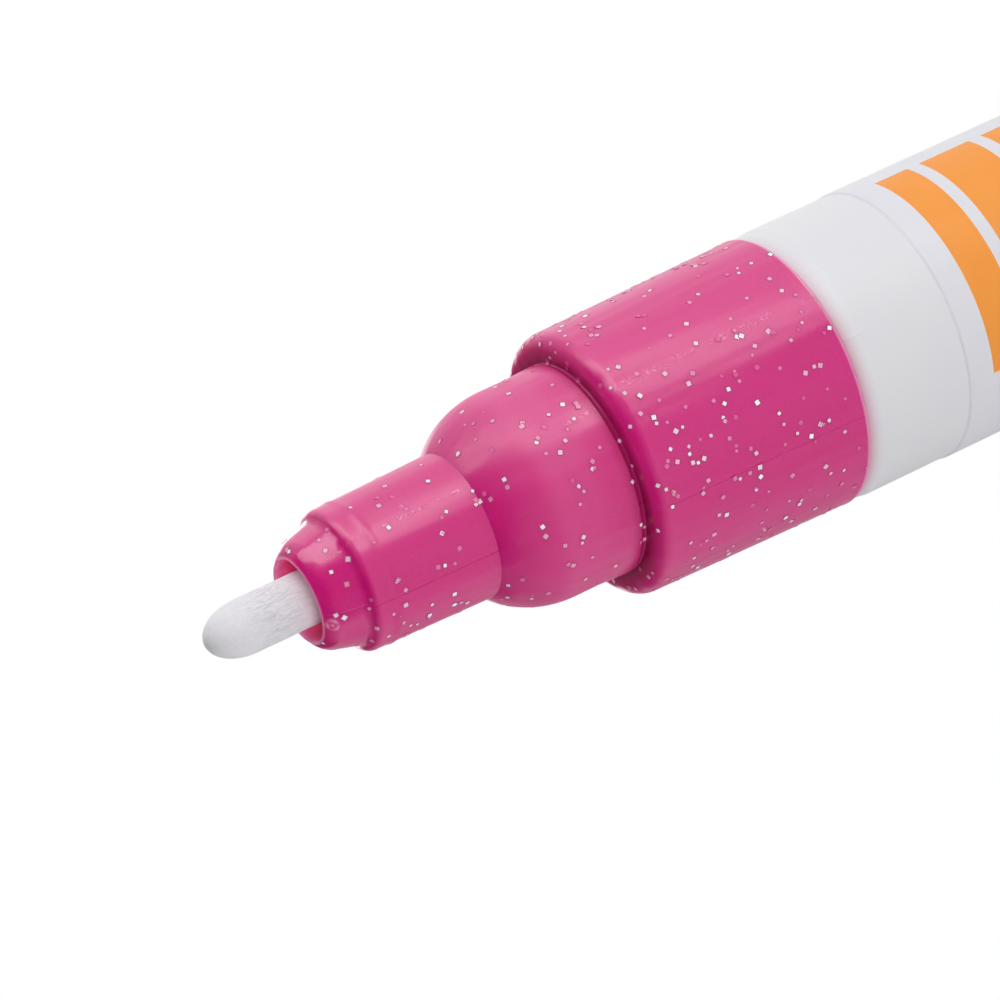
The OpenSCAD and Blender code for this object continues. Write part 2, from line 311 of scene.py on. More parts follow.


# Glitter-filled polypropylene, injection moulded: saturated pink that lets some red light through, with
# faint flow marks along the axis. Its corners are darkened by ambient occlusion, which is painted shade,
# and their gloss is turned down by it too, painted shade in the reflection. The thin edges are painted
# paler: a painted glow on the mouth's rim and a painted highlight on the collar's rear edge. The lip is
# polished and mirrors the softboxes, the seat and the dome are rubbed dull, and a wrinkled streak,
# bumped and painted pale, runs at the angle where the key softbox's highlight falls, except on the dome;
# its pale colour is a painted highlight. The specks of pigment are drawn coarser than the real ones,
# which are too fine for the picture
def makeGlitterPolypropylene(n):
    material, tree, shader, place = newMaterial("polypropyleneGlitterMoulded")
    parts = addNode(tree, "SeparateXYZ", {0: place}).outputs

    # pink with flow marks and specks, and painted shade in the corners, where ambient occlusion darkens
    # it
    drawn = addNode(tree, "Mapping", {"Vector": place, "Scale": (1, 1, n["flowDraw"])})
    flow = noise(tree, drawn, n["flowSize"], 1.0)
    pigment = noise(tree, place, n["pigment"], 1.0)
    speck = calc(tree, "SUBTRACT", pigment, 0.5)
    mottled = calc(tree, "MULTIPLY_ADD", speck, n["pigmentShare"], flow)
    tint = mixTones(tree, mottled, n["pink"], n["palePink"])
    around = addNode(tree, "AmbientOcclusion", {"Distance": n["paintedShadeReach"] * mm}, only_local=True)
    unshadedShare = remap(tree, around.outputs["AO"], n["paintedShadeRange"])
    cornerShaded = mixTones(tree, unshadedShare, n["paintedShadePink"], tint)

    # wrinkles: thin lines where a noise crosses its middle value, in patches along a line at the angle of
    # the key softbox's highlight; they are bumped, and painted pale as a painted highlight
    angle = calc(tree, "ARCTAN2", parts["Y"], parts["X"])
    streakLine = cameraSide + math.radians(n["wrinkleAngle"])
    offset = calc(tree, "SUBTRACT", angle, streakLine)
    away = calc(tree, "ABSOLUTE", offset)
    width = math.radians(n["wrinkleWidth"])
    near = remap(tree, away, (width, 0.0), eased=True)
    patch = noise(tree, place, n["patchSize"], 0.0)
    patches = remap(tree, patch, n["patchRange"])
    bareLow, bareHigh = n["bareDome"]
    onDome = calc(tree, "COMPARE", parts["Z"], (bareLow + bareHigh) / 2 * mm,
                  (bareHigh - bareLow) / 2 * mm)
    offDome = calc(tree, "SUBTRACT", 1.0, onDome)
    patched = calc(tree, "MULTIPLY", patches, offDome)
    where = calc(tree, "MULTIPLY", near, patched)
    crinkle = noise(tree, place, n["wrinkleSize"], 0.0, 1.0)
    level = calc(tree, "SUBTRACT", crinkle, 0.5)
    height = calc(tree, "ABSOLUTE", level)
    line = remap(tree, height, (n["crease"], 0.0))
    lines = calc(tree, "MULTIPLY", line, where)

    # the rubbed band is hazy, and its dull finish goes on over the dome
    bands = []
    for start, full, ease, end in (n["rubbed"], n["dulled"]):
        lower, upper = [
            remap(tree, parts["Z"], span, mm, eased=True)
            for span in ((start, full), (end, ease))
        ]
        bands.append(calc(tree, "MULTIPLY", lower, upper))
    rubbed, dulled = bands
    haze = calc(tree, "MULTIPLY", rubbed, n["hazeShare"])

    # pale marks: the wrinkles and the collar's rear edge, painted highlight; the mouth's rim, painted
    # glow; the gate and the haze
    zoneMask = addNode(tree, "Attribute", {}, attribute_name="paleGateAndPaintedEdges").outputs["Fac"]
    paintedStreakEdgesAndGate = calc(tree, "MAXIMUM", lines, zoneMask)
    marked = calc(tree, "MAXIMUM", paintedStreakEdgesAndGate, haze)
    pale = calc(tree, "MULTIPLY", marked, n["paleShare"])
    whole = mixTones(tree, pale, cornerShaded, n["paleMarkAndSheenPink"])

    # gloss
    # the gloss is turned down in the corners too, painted shade in the reflection
    shadedGloss = remap(tree, unshadedShare, to=n["shadedGloss"])
    rough = remap(tree, flow, to=n["finish"])
    lipStart = n["lipRear"][1]
    blend = (lipStart - n["polishBlend"], lipStart)
    polish = remap(tree, parts["Z"], blend, mm, to=(0.0, n["lipPolish"]))
    dull = calc(tree, "MULTIPLY_ADD", dulled, n["dullShare"], rough)
    finish = calc(tree, "SUBTRACT", dull, polish)
    broad = bumped(tree, flow, n["flowBump"])
    wrinkled = bumped(tree, lines, n["wrinkleBump"], Normal=broad)
    setInputs(tree, shader, {
        "Base Color": whole, "Specular IOR Level": shadedGloss, "Roughness": finish, "Normal": wrinkled,
        "IOR": n["gloss"], "Subsurface Weight": n["glow"], "Subsurface Radius": n["glowTint"],
        "Subsurface Scale": n["glowDepth"] * mm,
    })
    return material


# The same polypropylene in the bore of the mouth: the light that comes through the thin lip makes it
# glow red, and its base colour, paler than the outside's, adds a painted glow
def makeMouthPolypropylene(n):
    material, tree, shader, place = newMaterial("polypropyleneThinWallGlow")
    cloud = noise(tree, place, n["mouthCloud"], 2.0)
    tone = mixTones(tree, cloud, n["mouthGlowTone"], n["palePink"])
    setInputs(tree, shader, {
        "Base Color": tone, "Roughness": n["mouthFinish"], "Subsurface Weight": 1.0,
        "Subsurface Radius": n["mouthTint"], "Subsurface Scale": n["mouthDepth"] * mm,
    })
    return material


# Outline in the half plane, from the mouth over the outside to the plug's end and back through the inside
def noseOutline(n):
    lipFront, lipRear, neckFront, neckRear = n["lipFront"], n["lipRear"], n["neckFront"], n["neckRear"]
    collarFront, collarRear, seat, snap = n["collarFront"], n["collarRear"], n["seat"], n["snap"]
    lean = math.degrees(math.atan2(lipRear[0] - lipFront[0], lipFront[1] - lipRear[1]))
    lipCentre = lipFront[0] - n["lipRound"] * math.tan(math.radians(45 - lean / 2))
    mouthAngle = math.degrees(math.acos((n["mouth"] + n["mouthBevel"] - lipCentre) / n["lipRound"]))
    lip = arc(lipCentre, lipFront[1] - n["lipRound"], n["lipRound"], mouthAngle, lean, n["lipSteps"])
    ringAt, ringWidth, _ = n["ring"]
    ringLevels = ringAt + np.linspace(2, -2, n["ringRows"]) * ringWidth
    ringRadii = np.interp(ringLevels, (neckRear[1], neckFront[1]), (neckRear[0], neckFront[0]))
    domeCentre = seat - n["dome"]
    neckAngle = math.acos((neckRear[0] - domeCentre) / n["dome"])
    domeHeight = neckRear[1] - n["dome"] * math.sin(neckAngle)
    flashWidth, flashHeight = n["flash"]
    beadReach, beadHeight, beadRound = n["plugBead"]
    third = (collarRear[1] - n["plugEnd"]) / 3
    plugBeads = [
        (n["plug"] + extra, collarRear[1] - share * third + lift, beadRound)
        for share in (1, 2)
        for extra, lift in ((0, beadReach), (beadHeight, 0), (0, -beadReach))
    ]
    outside = [
        *lip.tolist(),
        (*lipRear, n["lipStepRound"]),
        (*neckFront, n["neckRound"]),
        *np.stack([ringRadii, ringLevels, 0 * ringLevels], axis=-1).tolist(),
        *arc(domeCentre, domeHeight, n["dome"], math.degrees(neckAngle), 0, n["domeSteps"]).tolist(),
        (seat, snap[1] + n["snapRamp"], 0),
        (*snap, n["snapRound"]),
        (seat, snap[1] + seat - snap[0], 0),
        (seat, collarFront[1], n["stepRound"]),
        (*collarFront, n["collarRound"]),
        (collarRear[0], collarRear[1] + 2 * flashWidth, 0),
        (collarRear[0] + flashHeight, collarRear[1] + flashWidth, 0),
        (*collarRear, 0),
        (n["plug"], collarRear[1], 0),
        *plugBeads,
        (n["plug"], n["plugEnd"], n["edgeRound"]),
    ]
    inside = [
        (n["pocket"], n["plugEnd"], 0),
        (n["pocket"], n["shoulder"], 0),
        (n["chamber"], n["shoulder"], 0),
        (n["chamber"], n["chamberTop"], 0),
        (n["mouth"], neckRear[1], 0),
        (n["mouth"], lip[0, 1] - n["mouthBevel"], 0),
    ]
    return cutRuns(roundedPath(outside + inside))


# Relief on the outside: a low ring behind the neck's edge, two parting grooves along the axis, each a
# Gaussian across its line and nearly worn away on the dome, and the gate's mark on the lip, a stub
# inside a Gaussian round a circle, which rises and falls a few times on its way round
def noseRelief(n, path, angles, lines, gateLine):
    radius, height = path[:, :1], path[:, 1:]
    rearRow = np.argmax(path[:, 1] <= n["collarRear"][1])
    outer = np.arange(len(path)) < rearRow
    ringAt, ringWidth, ringHeight = n["ring"]
    ring = ringHeight * np.exp(-((height - ringAt) / ringWidth) ** 2)
    grooveWidth, grooveDepth = n["parting"]
    offset = np.stack([angleFrom(angles, line)[None, :] * radius for line in lines])
    onDome = (height > n["snap"][1]) & (height < n["neckRear"][1])
    depth = grooveDepth * np.where(onDome, n["domeParting"], 1)
    grooves = depth * np.exp(-(offset / grooveWidth) ** 2).sum(0)
    gateRadius, gateWidth, gateHeight = n["gate"]
    nearest = np.argmin(np.abs(path[:rearRow, 1] - n["gateHeight"]))
    along = np.hypot(radius - path[nearest, 0], height - n["gateHeight"])
    across = angleFrom(angles, gateLine)[None, :] * radius
    away = np.hypot(along, across)
    mean, swing, times, start = n["gateRagged"]
    ragged = mean + swing * np.cos(times * np.arctan2(height - n["gateHeight"], across) + start)
    stub = np.exp(-(away / gateWidth) ** 2)
    gate = (ragged * np.exp(-((away - gateRadius) / gateWidth) ** 2) + stub) * outer[:, None]
    return (ring - grooves) * outer[:, None] + gateHeight * gate, gate, rearRow


def makeNose(n, material):
    path = noseOutline(n)
    lines = [cameraSide + math.radians(a) for a in n["partingAngles"]]
    gateLine = cameraSide + math.radians(n["gateAngle"])
    reach = markReach * n["parting"][0] / n["neckRear"][0]
    gateReach = (n["gate"][0] + 2 * n["gate"][1]) / n["lipRear"][0]
    marks = [(line, reach) for line in lines] + [(gateLine, gateReach)]
    angles = anglesRound(n["columns"], marks, n["perMark"])
    relief, gate, rearRow = noseRelief(n, path, angles, lines, gateLine)
    piece = turned("noseMoulding", path, angles, material, relief=relief)
    # pale bands painted on the mouth's rim, a painted glow, and on the collar's rear edge, a painted
    # highlight; the gate's mark is pale as well
    paintedRim, rear = [
        np.clip((path[:, 1:] - start) / (end - start), 0, 1)
        for start, end in (n["rimGlowLevels"], n["rearHighlightLevels"])
    ]
    paleLayer = piece.data.attributes.new("paleGateAndPaintedEdges", "FLOAT", "POINT")
    paleLayer.data.foreach_set("value", np.clip(gate + paintedRim + rear, 0, 1).ravel().astype(np.float32))
    piece.data.materials.append(makeMouthPolypropylene(n))
    inMouth = (path[:, 0] < n["mouth"] + n["mouthBevel"] / 2) & (path[:, 1] > n["neckRear"][1])
    piece.data.polygons.foreach_set("material_index", np.repeat(inMouth, len(angles)).astype(np.int32))
    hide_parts("front_section")
    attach(piece, "marker_body")
    ringed = path[:rearRow, 0] + np.median(relief[:rearRow], axis=1)
    return np.stack([ringed, path[:rearRow, 1]], axis=-1)


glitterPolypropylene = makeGlitterPolypropylene(nose)
noseSkin = makeNose(nose, glitterPolypropylene)
print("nose moulding:", len(noseSkin), "points on the outside")


# guide fins: plates that stand in from the bore and hold the nib on the axis

fins = dict(count=6, inner=1.56, width=0.7, top=131.7, low=116.6, sunk=0.15)


# The outline of one fin is moved half a width to both sides and turned round the axis, once for each fin
def makeFins(f, n, material):
    chamberWall, mouthWall = n["chamber"] + f["sunk"], n["mouth"] + f["sunk"]
    outline = np.array([
        (f["inner"], f["low"]), (chamberWall, f["low"]), (chamberWall, n["chamberTop"]),
        (mouthWall, n["neckRear"][1]), (mouthWall, f["top"]), (f["inner"], f["top"]),
    ])
    corners = len(outline)
    side = np.array([-0.5, 0.5])[:, None] * f["width"]
    angle = (np.arange(f["count"]) * turn / f["count"])[:, None, None]
    radius, height = outline[None, None, :, 0], outline[None, None, :, 1]
    x = radius * np.cos(angle) - side[None] * np.sin(angle)
    y = radius * np.sin(angle) + side[None] * np.cos(angle)
    points = np.stack([x, y, height + 0 * x], axis=-1).reshape(-1, 3)
    own = np.arange(corners)
    after = np.roll(own, -1)
    walls = np.stack([own, after, after + corners, own + corners], axis=-1)
    faces = []
    for start in range(0, len(points), 2 * corners):
        faces += (walls + start).tolist()
        faces += [(own[::-1] + start).tolist(), (own + corners + start).tolist()]
    piece = newPiece("nibGuideFins", points, faces, material, smooth=False)
    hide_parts("front_section")
    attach(piece, "marker_body")


makeFins(fins, nose, glitterPolypropylene)
print("guide fins:", fins["count"])


# glitter: thin square foil flakes that lie in the skin of the moulding

glitter = dict(
    perArea=0.8, frontShare=0.5, size=(0.21, 0.37), proud=0.012, sunk=0.03, tilt=2.5, deepBias=1.6,
    seed=11, shadeRimRange=(0.66, 0.74), wallRange=(0.1, 0.0),
    foil="#FFFFFF", paintedRim="#A03A70", deep="#DC5C98", skin="#CB3580", finish=0.32,
)


# Metallised polyester flakes, punched square: near-white where they lie at the skin, pinker the deeper
# they lie, with a thin dark rim round the cut edge of the bright ones, which is painted shade
def makeFoil(g):
    material, tree, shader, _ = newMaterial("polyesterFoilFlakes")
    shine = addNode(tree, "Attribute", {}, attribute_name="shine").outputs["Fac"]
    across = addNode(tree, "Attribute", {}, attribute_name="across").outputs["Vector"]
    size = addNode(tree, "VectorMath", {0: across}, operation="ABSOLUTE")
    parts = addNode(tree, "SeparateXYZ", {0: size}).outputs
    edge = calc(tree, "MAXIMUM", parts["X"], parts["Y"])
    # a dark rim painted round the bright flakes' cut edge: painted shade
    paintedRim = remap(tree, edge, g["shadeRimRange"])
    onTop = remap(tree, parts["Z"], g["wallRange"])
    dark = calc(tree, "MULTIPLY", shine, onTop)
    rimShadeTone = mixTones(tree, dark, g["skin"], g["paintedRim"])
    face = mixTones(tree, shine, g["deep"], g["foil"])
    whole = mixTones(tree, paintedRim, face, rimShadeTone)
    setInputs(tree, shader, {"Base Color": whole, "Roughness": g["finish"]})
    return material


# Each flake is a plate of three by three points that follows the surface of turn. Its centre is drawn
# evenly over the area, fewer of them in front of the collar, and each point lies a step along the
# outline and a step round the axis from it, turned by the plate's spin
def makeGlitter(g, outline, collarFront):
    random = np.random.default_rng(g["seed"])
    length = np.linalg.norm(np.diff(outline, axis=0), axis=1)
    along = np.append(0, np.cumsum(length))
    collarStart = along[np.argmax(outline[:, 1] < collarFront)]
    total = np.append(0, np.cumsum(turn * (outline[:-1, 0] + outline[1:, 0]) / 2 * length))
    count = int(g["perArea"] * total[-1])
    spot = np.interp(random.uniform(0, total[-1], count), total, along)
    spot = spot[(spot > collarStart) | (random.uniform(0, 1, count) < g["frontShare"])][:, None]
    count = len(spot)
    angle = random.uniform(0, turn, count)[:, None]
    spin = random.uniform(0, turn / 4, count)[:, None]
    half = random.uniform(*g["size"], count)[:, None] / 2
    shine = random.uniform(0, 1, count) ** g["deepBias"]
    lean = np.radians(g["tilt"]) * random.normal(0, 1, (2, count, 1))
    grid = np.arange(9).reshape(3, 3)
    gridX, gridY = (grid % 3 - 1).reshape(1, -1), (grid // 3 - 1).reshape(1, -1)
    place = spot + half * (gridX * np.cos(spin) - gridY * np.sin(spin))
    radius, height = [np.interp(place, along, outline[:, k]) for k in (0, 1)]
    slope, fall = [np.interp(place, along, np.gradient(outline[:, k], along)) for k in (0, 1)]
    angle = angle + half * (gridX * np.sin(spin) + gridY * np.cos(spin)) / radius
    rise = g["proud"] + half * (lean[0] * gridX + lean[1] * gridY)
    levels = []
    for lift in (rise, rise - g["proud"] - g["sunk"]):
        r, z = radius - lift * fall, height + lift * slope
        levels.append(np.stack([r * np.cos(angle), r * np.sin(angle), z], axis=-1))
    points = np.concatenate(levels, axis=1).reshape(-1, 3)
    top = np.stack([grid[:-1, :-1], grid[:-1, 1:], grid[1:, 1:], grid[1:, :-1]], axis=-1).reshape(-1, 4)
    loop = np.concatenate([grid[0, :-1], grid[:-1, -1], grid[-1, :0:-1], grid[:0:-1, 0]])
    after = np.roll(loop, -1)
    walls = np.stack([loop, loop + grid.size, after + grid.size, after], axis=-1)
    plate = np.concatenate([top, walls, top[:, ::-1] + grid.size])
    perPlate = 2 * grid.size
    faces = (plate[None] + perPlate * np.arange(count)[:, None, None]).reshape(-1, 4)
    piece = newPiece("glitterFlakes", points, faces.tolist(), makeFoil(g), smooth=False)
    shineLayer = piece.data.attributes.new("shine", "FLOAT", "POINT")
    shineLayer.data.foreach_set("value", np.repeat(shine, perPlate).astype(np.float32))
    depth = np.repeat([0, 1], grid.size)
    across = np.stack([np.tile(gridX[0], 2), np.tile(gridY[0], 2), depth], axis=-1)
    acrossLayer = piece.data.attributes.new("across", "FLOAT_VECTOR", "POINT")
    acrossLayer.data.foreach_set("vector", np.tile(across, (count, 1)).astype(np.float32).ravel())
    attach(piece, "marker_body")
    return count


print("glitter flakes:", makeGlitter(glitter, noseSkin, nose["collarFront"][1]))


# fibre nib: a bullet of bonded fibres, with fine ridges along it that fade out on the worn tip

nibBullet = dict(
    radius=1.5, tip=140.1, tipLength=2.4, tipRows=40, rear=110.1, rearRound=0.2, columns=220,
    fineLow=130.0, fineRows=100,
    ridgeTop=138.2, ridgeFade=3, ridgeLow=130.5, ridgeHeight=0.012, ridgeSunk=0.9, ridgeSpan=12,
    ridgeCells=((8, 70, 1.0), (14, 110, 0.7)), tipRidges=(138, 0.12), bareTip=0.3, seed=4,
    white="#E4E2E6", grey="#DEDCE1", gap="#CDCAD0", fibreSize=0.09, fibreDraw=0.2, fibreWave=0.9,
    fibreRange=(0.35, 0.6), fibreFade=(138.6, 136.4), fibreBump=(0.45, 0.02),
    rootTint="#EAD4DF", rootFade=(135.9, 134.0), rootShare=0.7,
    grain=0.12, grainBump=(0.2, 0.015), finish=0.85, glow=0.6, glowDepth=0.6, sheen=0.15,
)


# Polyester fibre, bonded and ground to a bullet: matt white, with fine grey lines along the fibres and
# a pink tint that grows towards the mouth. The fibres are drawn coarser than the real ones, which are
# too fine for the picture
def makeBondedFibre(n):
    material, tree, shader, place = newMaterial("polyesterFibreBonded")
    drawn = addNode(tree, "Mapping", {"Vector": place, "Scale": (1, 1, n["fibreDraw"])})
    lines = noise(tree, drawn, n["fibreSize"], 2.0, n["fibreWave"])
    lineMask = remap(tree, lines, n["fibreRange"])
    height = addNode(tree, "SeparateXYZ", {0: place}).outputs["Z"]
    zoneMask = remap(tree, height, n["fibreFade"], mm, eased=True)
    gap = mixTones(tree, zoneMask, n["grey"], n["gap"])
    fibre = mixTones(tree, lineMask, gap, n["white"])
    root = remap(tree, height, n["rootFade"], mm, to=(0.0, n["rootShare"]))
    pinkerAtRoot = mixTones(tree, root, fibre, n["rootTint"])
    grain = noise(tree, place, n["grain"], 2.0)
    bump = bumped(tree, lines, n["fibreBump"])
    fuzz = bumped(tree, grain, n["grainBump"], Normal=bump)
    setInputs(tree, shader, {
        "Base Color": pinkerAtRoot, "Normal": fuzz, "Roughness": n["finish"], "Subsurface Weight": n["glow"],
        "Subsurface Radius": (1.0, 1.0, 1.0), "Subsurface Scale": n["glowDepth"] * mm,
        "Sheen Weight": n["sheen"],
    })
    return material


# The tip is half an ellipse, and its rows lie closer towards the pole. Below fineLow the nib is hidden
# and smooth
def makeNib(n):
    share = np.linspace(0, 1, n["tipRows"]) ** 2
    ellipse = n["radius"] * np.sqrt(1 - (1 - share) ** 2)
    tip = np.stack([ellipse, n["tip"] - n["tipLength"] * share], axis=-1)
    levels = np.linspace(tip[-1, 1], n["fineLow"], n["fineRows"] + 1)[1:]
    straight = np.stack([np.full(n["fineRows"], n["radius"]), levels], axis=-1)
    rear = roundedPath([(n["radius"], n["fineLow"], 0), (n["radius"], n["rear"], n["rearRound"]),
                        (0, n["rear"], 0)])
    path = np.concatenate([tip, straight, rear[rear[:, 1] < n["fineLow"] - samePlace]])
    radius, height = path[:, :1], path[:, 1:]
    angles = np.linspace(0, turn, n["columns"], endpoint=False)
    random = np.random.default_rng(n["seed"])
    along = (n["tip"] - path[:, 1]) / n["ridgeSpan"]
    ridges = sum(
        weight * easedNoise(random, along, angles, cellsAlong, cellsRound)
        for cellsAlong, cellsRound, weight in n["ridgeCells"]
    )
    tipFrom, tipShare = n["tipRidges"]
    fade = np.clip((n["ridgeTop"] - height) / n["ridgeFade"], 0, 1) * (height > n["ridgeLow"])
    fade = fade + tipShare * (height > tipFrom)
    relief = n["ridgeHeight"] * (ridges - n["ridgeSunk"]) * fade * (radius > n["bareTip"])
    piece = turned("fibreNib", path, angles, makeBondedFibre(n), ring=False, relief=relief)
    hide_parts("nib")
    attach(piece, "nib_and_stem")


makeNib(nibBullet)
print("fibre nib done")


# barrel: white tube with an eased front edge

tube = dict(
    outer=7.75, bore=6.65, low=1.6, front=103.6, easeStart=102.3, frontRadius=7.62, edgeRound=0.2,
    step=0.05, stepWidth=0.16, longest=1.2, columns=160, tickAngle=2, tickHeight=0.03, tickWidth=0.07,
    # glow is a greyish pink painted along the front edge: painted bounce light and shade, weakest on the
    # key's side
    white="#E2E2E5", shade="#DDDDE1", cloud=6, glow="#C87B96", paintedGlowFall=2.5, paintedGlowLeast=0.25,
    satin=0.25, satinBump=(0.1, 0.01), finish=0.42, gloss=1.5,
)


# Polypropylene, injection moulded with a fine satin texture: milky white and slightly uneven. Along
# its front edge by the coloured collar it carries a greyish pink, painted bounce light and painted shade,
# most on the side away from the key softbox
def makeSatinPolypropylene(t):
    material, tree, shader, place = newMaterial("polypropyleneSatinMoulded")
    cloud = noise(tree, place, t["cloud"], 2.0)
    milk = mixTones(tree, cloud, t["white"], t["shade"])
    parts = addNode(tree, "SeparateXYZ", {0: place}).outputs
    # painted glow and shade along the front edge, faded towards the key softbox's side
    near = remap(tree, parts["Z"], (t["easeStart"], t["front"]), mm)
    fade = calc(tree, "POWER", near, t["paintedGlowFall"])
    awayFromKey = remap(tree, parts["X"], (t["outer"], 0.0), mm, to=(t["paintedGlowLeast"], 1.0))
    paintedGlowShare = calc(tree, "MULTIPLY", fade, awayFromKey)
    paintedCollarGlow = mixTones(tree, paintedGlowShare, milk, t["glow"])
    satin = noise(tree, place, t["satin"], 2.0)
    bump = bumped(tree, satin, t["satinBump"])
    setInputs(tree, shader, {"Base Color": paintedCollarGlow, "Normal": bump, "Roughness": t["finish"],
                             "IOR": t["gloss"]})
    return material


# The section of the wall is carried round the axis, and a small tick, a Gaussian across its line, stands
# on the eased edge
def makeTube(t):
    path = cutRuns(roundedPath([
        (t["frontRadius"], t["front"], t["edgeRound"]),
        (t["outer"] - t["step"], t["easeStart"] + t["stepWidth"], t["stepWidth"]),
        (t["outer"], t["easeStart"], t["stepWidth"]),
        (t["outer"], t["low"], t["edgeRound"]),
        (t["bore"], t["low"], t["edgeRound"]),
        (t["bore"], t["front"], t["edgeRound"]),
    ]), longest=t["longest"])
    line = cameraSide + math.radians(t["tickAngle"])
    angles = anglesRound(t["columns"], [(line, markReach * t["tickWidth"] / t["outer"])])
    offset = angleFrom(angles, line)[None, :] * t["outer"]
    onEase = (path[:, 1:] > t["easeStart"]) & (path[:, :1] > (t["bore"] + t["outer"]) / 2)
    tick = t["tickHeight"] * np.exp(-(offset / t["tickWidth"]) ** 2) * onEase
    piece = turned("barrelTube", path, angles, makeSatinPolypropylene(t), relief=tick)
    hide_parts("barrel")
    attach(piece, "marker_body")


makeTube(tube)
print("barrel done")


# label: printed film wrapped round the barrel, with plain stripes and a narrow open seam at the back

wrap = dict(
    inner=7.752, outer=7.82, low=5.6, high=97.05, seamAngle=180, seam=0.6, bevel=(0.12, 0.066),
    stripes=((95.42, 93.26), (92.47, 89.13), (88.32, 24.0), (23.19, 19.85), (19.06, 16.9)),
    stripeEnds=(-37, 67), rows=48, columns=145,
    film="#E0E0E5", filmShade="#DBDBE2", cut="#CECED6", ink="#F69C3F", inkShade="#F39738",
    cloud=1.5, grain=0.4, grainBump=(0.08, 0.01), finish=0.46,
)


# Polypropylene film, printed and rolled on: satin white or one flat ink, faintly uneven in the print
def makeFilm(name, colour, shade, w):
    material, tree, shader, place = newMaterial(name)
    cloud = noise(tree, place, w["cloud"], 4.0)
    tone = mixTones(tree, cloud, colour, shade)
    grain = noise(tree, place, w["grain"], 2.0)
    bump = bumped(tree, grain, w["grainBump"])
    setInputs(tree, shader, {"Base Color": tone, "Normal": bump, "Roughness": w["finish"]})
    return material


# The film's section, a thin upright rectangle with a bevelled front, is carried round the axis from one
# side of the seam to the other. Rows and columns lie on the stripes' edges, so that each face is all film
# or all ink, and the bevelled front is a darker grey, painted shade on the step
def makeLabel(w):
    gap = w["seam"] / w["outer"] / 2
    seam = cameraSide + math.radians(w["seamAngle"])
    ends = [cameraSide + math.radians(a) for a in w["stripeEnds"]]
    even = np.linspace(seam - turn + gap, seam - gap, w["columns"])
    angles = np.unique(np.concatenate([even, ends]))
    bevelLength, bevelDepth = w["bevel"]
    plain = np.linspace(w["low"], w["high"] - bevelLength, w["rows"])
    levels = np.unique(np.concatenate([plain, np.ravel(w["stripes"]), [w["high"]]]))[::-1]
    path = np.concatenate([
        np.stack([w["outer"] - bevelDepth * (levels == w["high"]), levels], axis=-1),
        np.stack([np.full(len(levels), w["inner"]), levels[::-1]], axis=-1),
    ])
    rows, columns = len(path), len(angles)
    radius, height = path[:, :1], path[:, 1:] + 0 * angles
    points = np.stack([radius * np.cos(angles), radius * np.sin(angles), height], axis=-1)
    number = np.arange(rows * columns).reshape(rows, columns)
    below = np.roll(number, -1, axis=0)
    quads = np.stack([number[:, :-1], below[:, :-1], below[:, 1:], number[:, 1:]], axis=-1)
    caps = [number[::-1, 0].tolist(), number[:, -1].tolist()]
    film = makeFilm("polypropyleneFilmWhite", w["film"], w["filmShade"], w)
    ink = makeFilm("polypropyleneFilmPrinted", w["ink"], w["inkShade"], w)
    # the bevelled front takes a darker grey: painted shade on the step
    cut = makeFilm("polypropyleneFilmShadedEdge", w["cut"], w["filmShade"], w)
    piece = newPiece("labelFilm", points.reshape(-1, 3), quads.reshape(-1, 4).tolist() + caps, film)
    piece.data.materials.append(ink)
    piece.data.materials.append(cut)
    middleHeight = (path[:, 1] + np.roll(path[:, 1], -1)) / 2
    middleAngle = (angles[:-1] + angles[1:]) / 2
    inStripe = np.any([
        (middleHeight < high) & (middleHeight > low) for high, low in w["stripes"]
    ], axis=0)
    outerFace = np.arange(rows) < len(levels) - 1
    betweenEnds = (middleAngle > ends[0]) & (middleAngle < ends[1])
    inked = (inStripe & outerFace)[:, None] & betweenEnds[None, :]
    finishNumber = inked + 2 * (np.arange(rows) == 0)[:, None]
    finishNumbers = np.append(finishNumber.ravel(), [0, 0]).astype(np.int32)
    piece.data.polygons.foreach_set("material_index", finishNumbers)
    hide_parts("label")
    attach(piece, "marker_body")


makeLabel(wrap)
print("label done")


# tail plug: flange that closes the barrel, with a skirt inside it

tail = dict(
    outer=7.75, flange=1.6, edge=0.5, seamRound=0.06, skirt=6.55, skirtTop=7.6, wall=1.1, edgeRound=0.2,
    bead=(0.5, 0.13, 0.3), columns=144,
)


# The half section, from the axis over the skirt and the flange back to the axis, is carried round
def makeTail(t, material):
    bore = t["skirt"] - t["wall"]
    middle = (t["flange"] + t["skirtTop"]) / 2
    beadReach, beadHeight, beadRound = t["bead"]
    path = cutRuns(roundedPath([
        (0, t["flange"], 0),
        (bore, t["flange"], t["edgeRound"]),
        (bore, t["skirtTop"], t["edgeRound"]),
        (t["skirt"], t["skirtTop"], t["edgeRound"]),
        (t["skirt"], middle + beadReach, beadRound),
        (t["skirt"] + beadHeight, middle, beadRound),
        (t["skirt"], middle - beadReach, beadRound),
        (t["skirt"], t["flange"], 0),
        (t["outer"], t["flange"], t["seamRound"]),
        (t["outer"], 0, t["edge"]),
        (0, 0, 0),
    ]))
    last = np.flatnonzero((path < samePlace).all(axis=1))[0]
    piece = turned("tailPlug", path[:last + 1], anglesRound(t["columns"]), material, ring=False)
    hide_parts("tail_plug")
    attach(piece, "marker_body")


makeTail(tail, glitterPolypropylene)
print("tail plug done")


# valve spring: round wire wound on a helix between the casing's floor and the stem's head

spring = dict(
    radius=1.8, wire=0.2, low=90.15, high=104.25, turns=8, perTurn=28, sides=10, foot=89.95, travel=2.0,
    steel="#C6C6C8", steelShade="#A9A9AD", mottle=0.15, finish=(0.22, 0.4),
)


